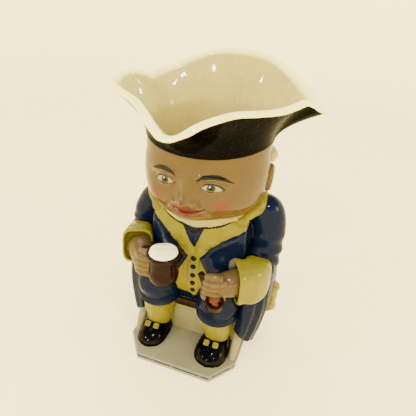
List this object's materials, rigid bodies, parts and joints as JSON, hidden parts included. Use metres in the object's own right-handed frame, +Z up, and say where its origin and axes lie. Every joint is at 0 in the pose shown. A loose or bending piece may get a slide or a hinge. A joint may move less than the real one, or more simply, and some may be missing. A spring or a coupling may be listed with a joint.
{
  "type": "toby jug",
  "caption": "Hollow glazed earthenware jug shaped as a seated figure in a tricorn hat, with a loop handle at the back; pours and holds liquid.",
  "frame": {"origin": "centre of the base's flat underside", "axes": "+Z up, the figure faces -Y, +X to the right of someone who looks at its face"},
  "size_m": [0.1445, 0.1411, 0.231],
  "materials": {
    "glazed_earthenware": "glossy, hand-painted under a clear glaze"
  },
  "bodies": {
    "root": {"toby_jug": "glazed_earthenware"}
  },
  "joints": []
}
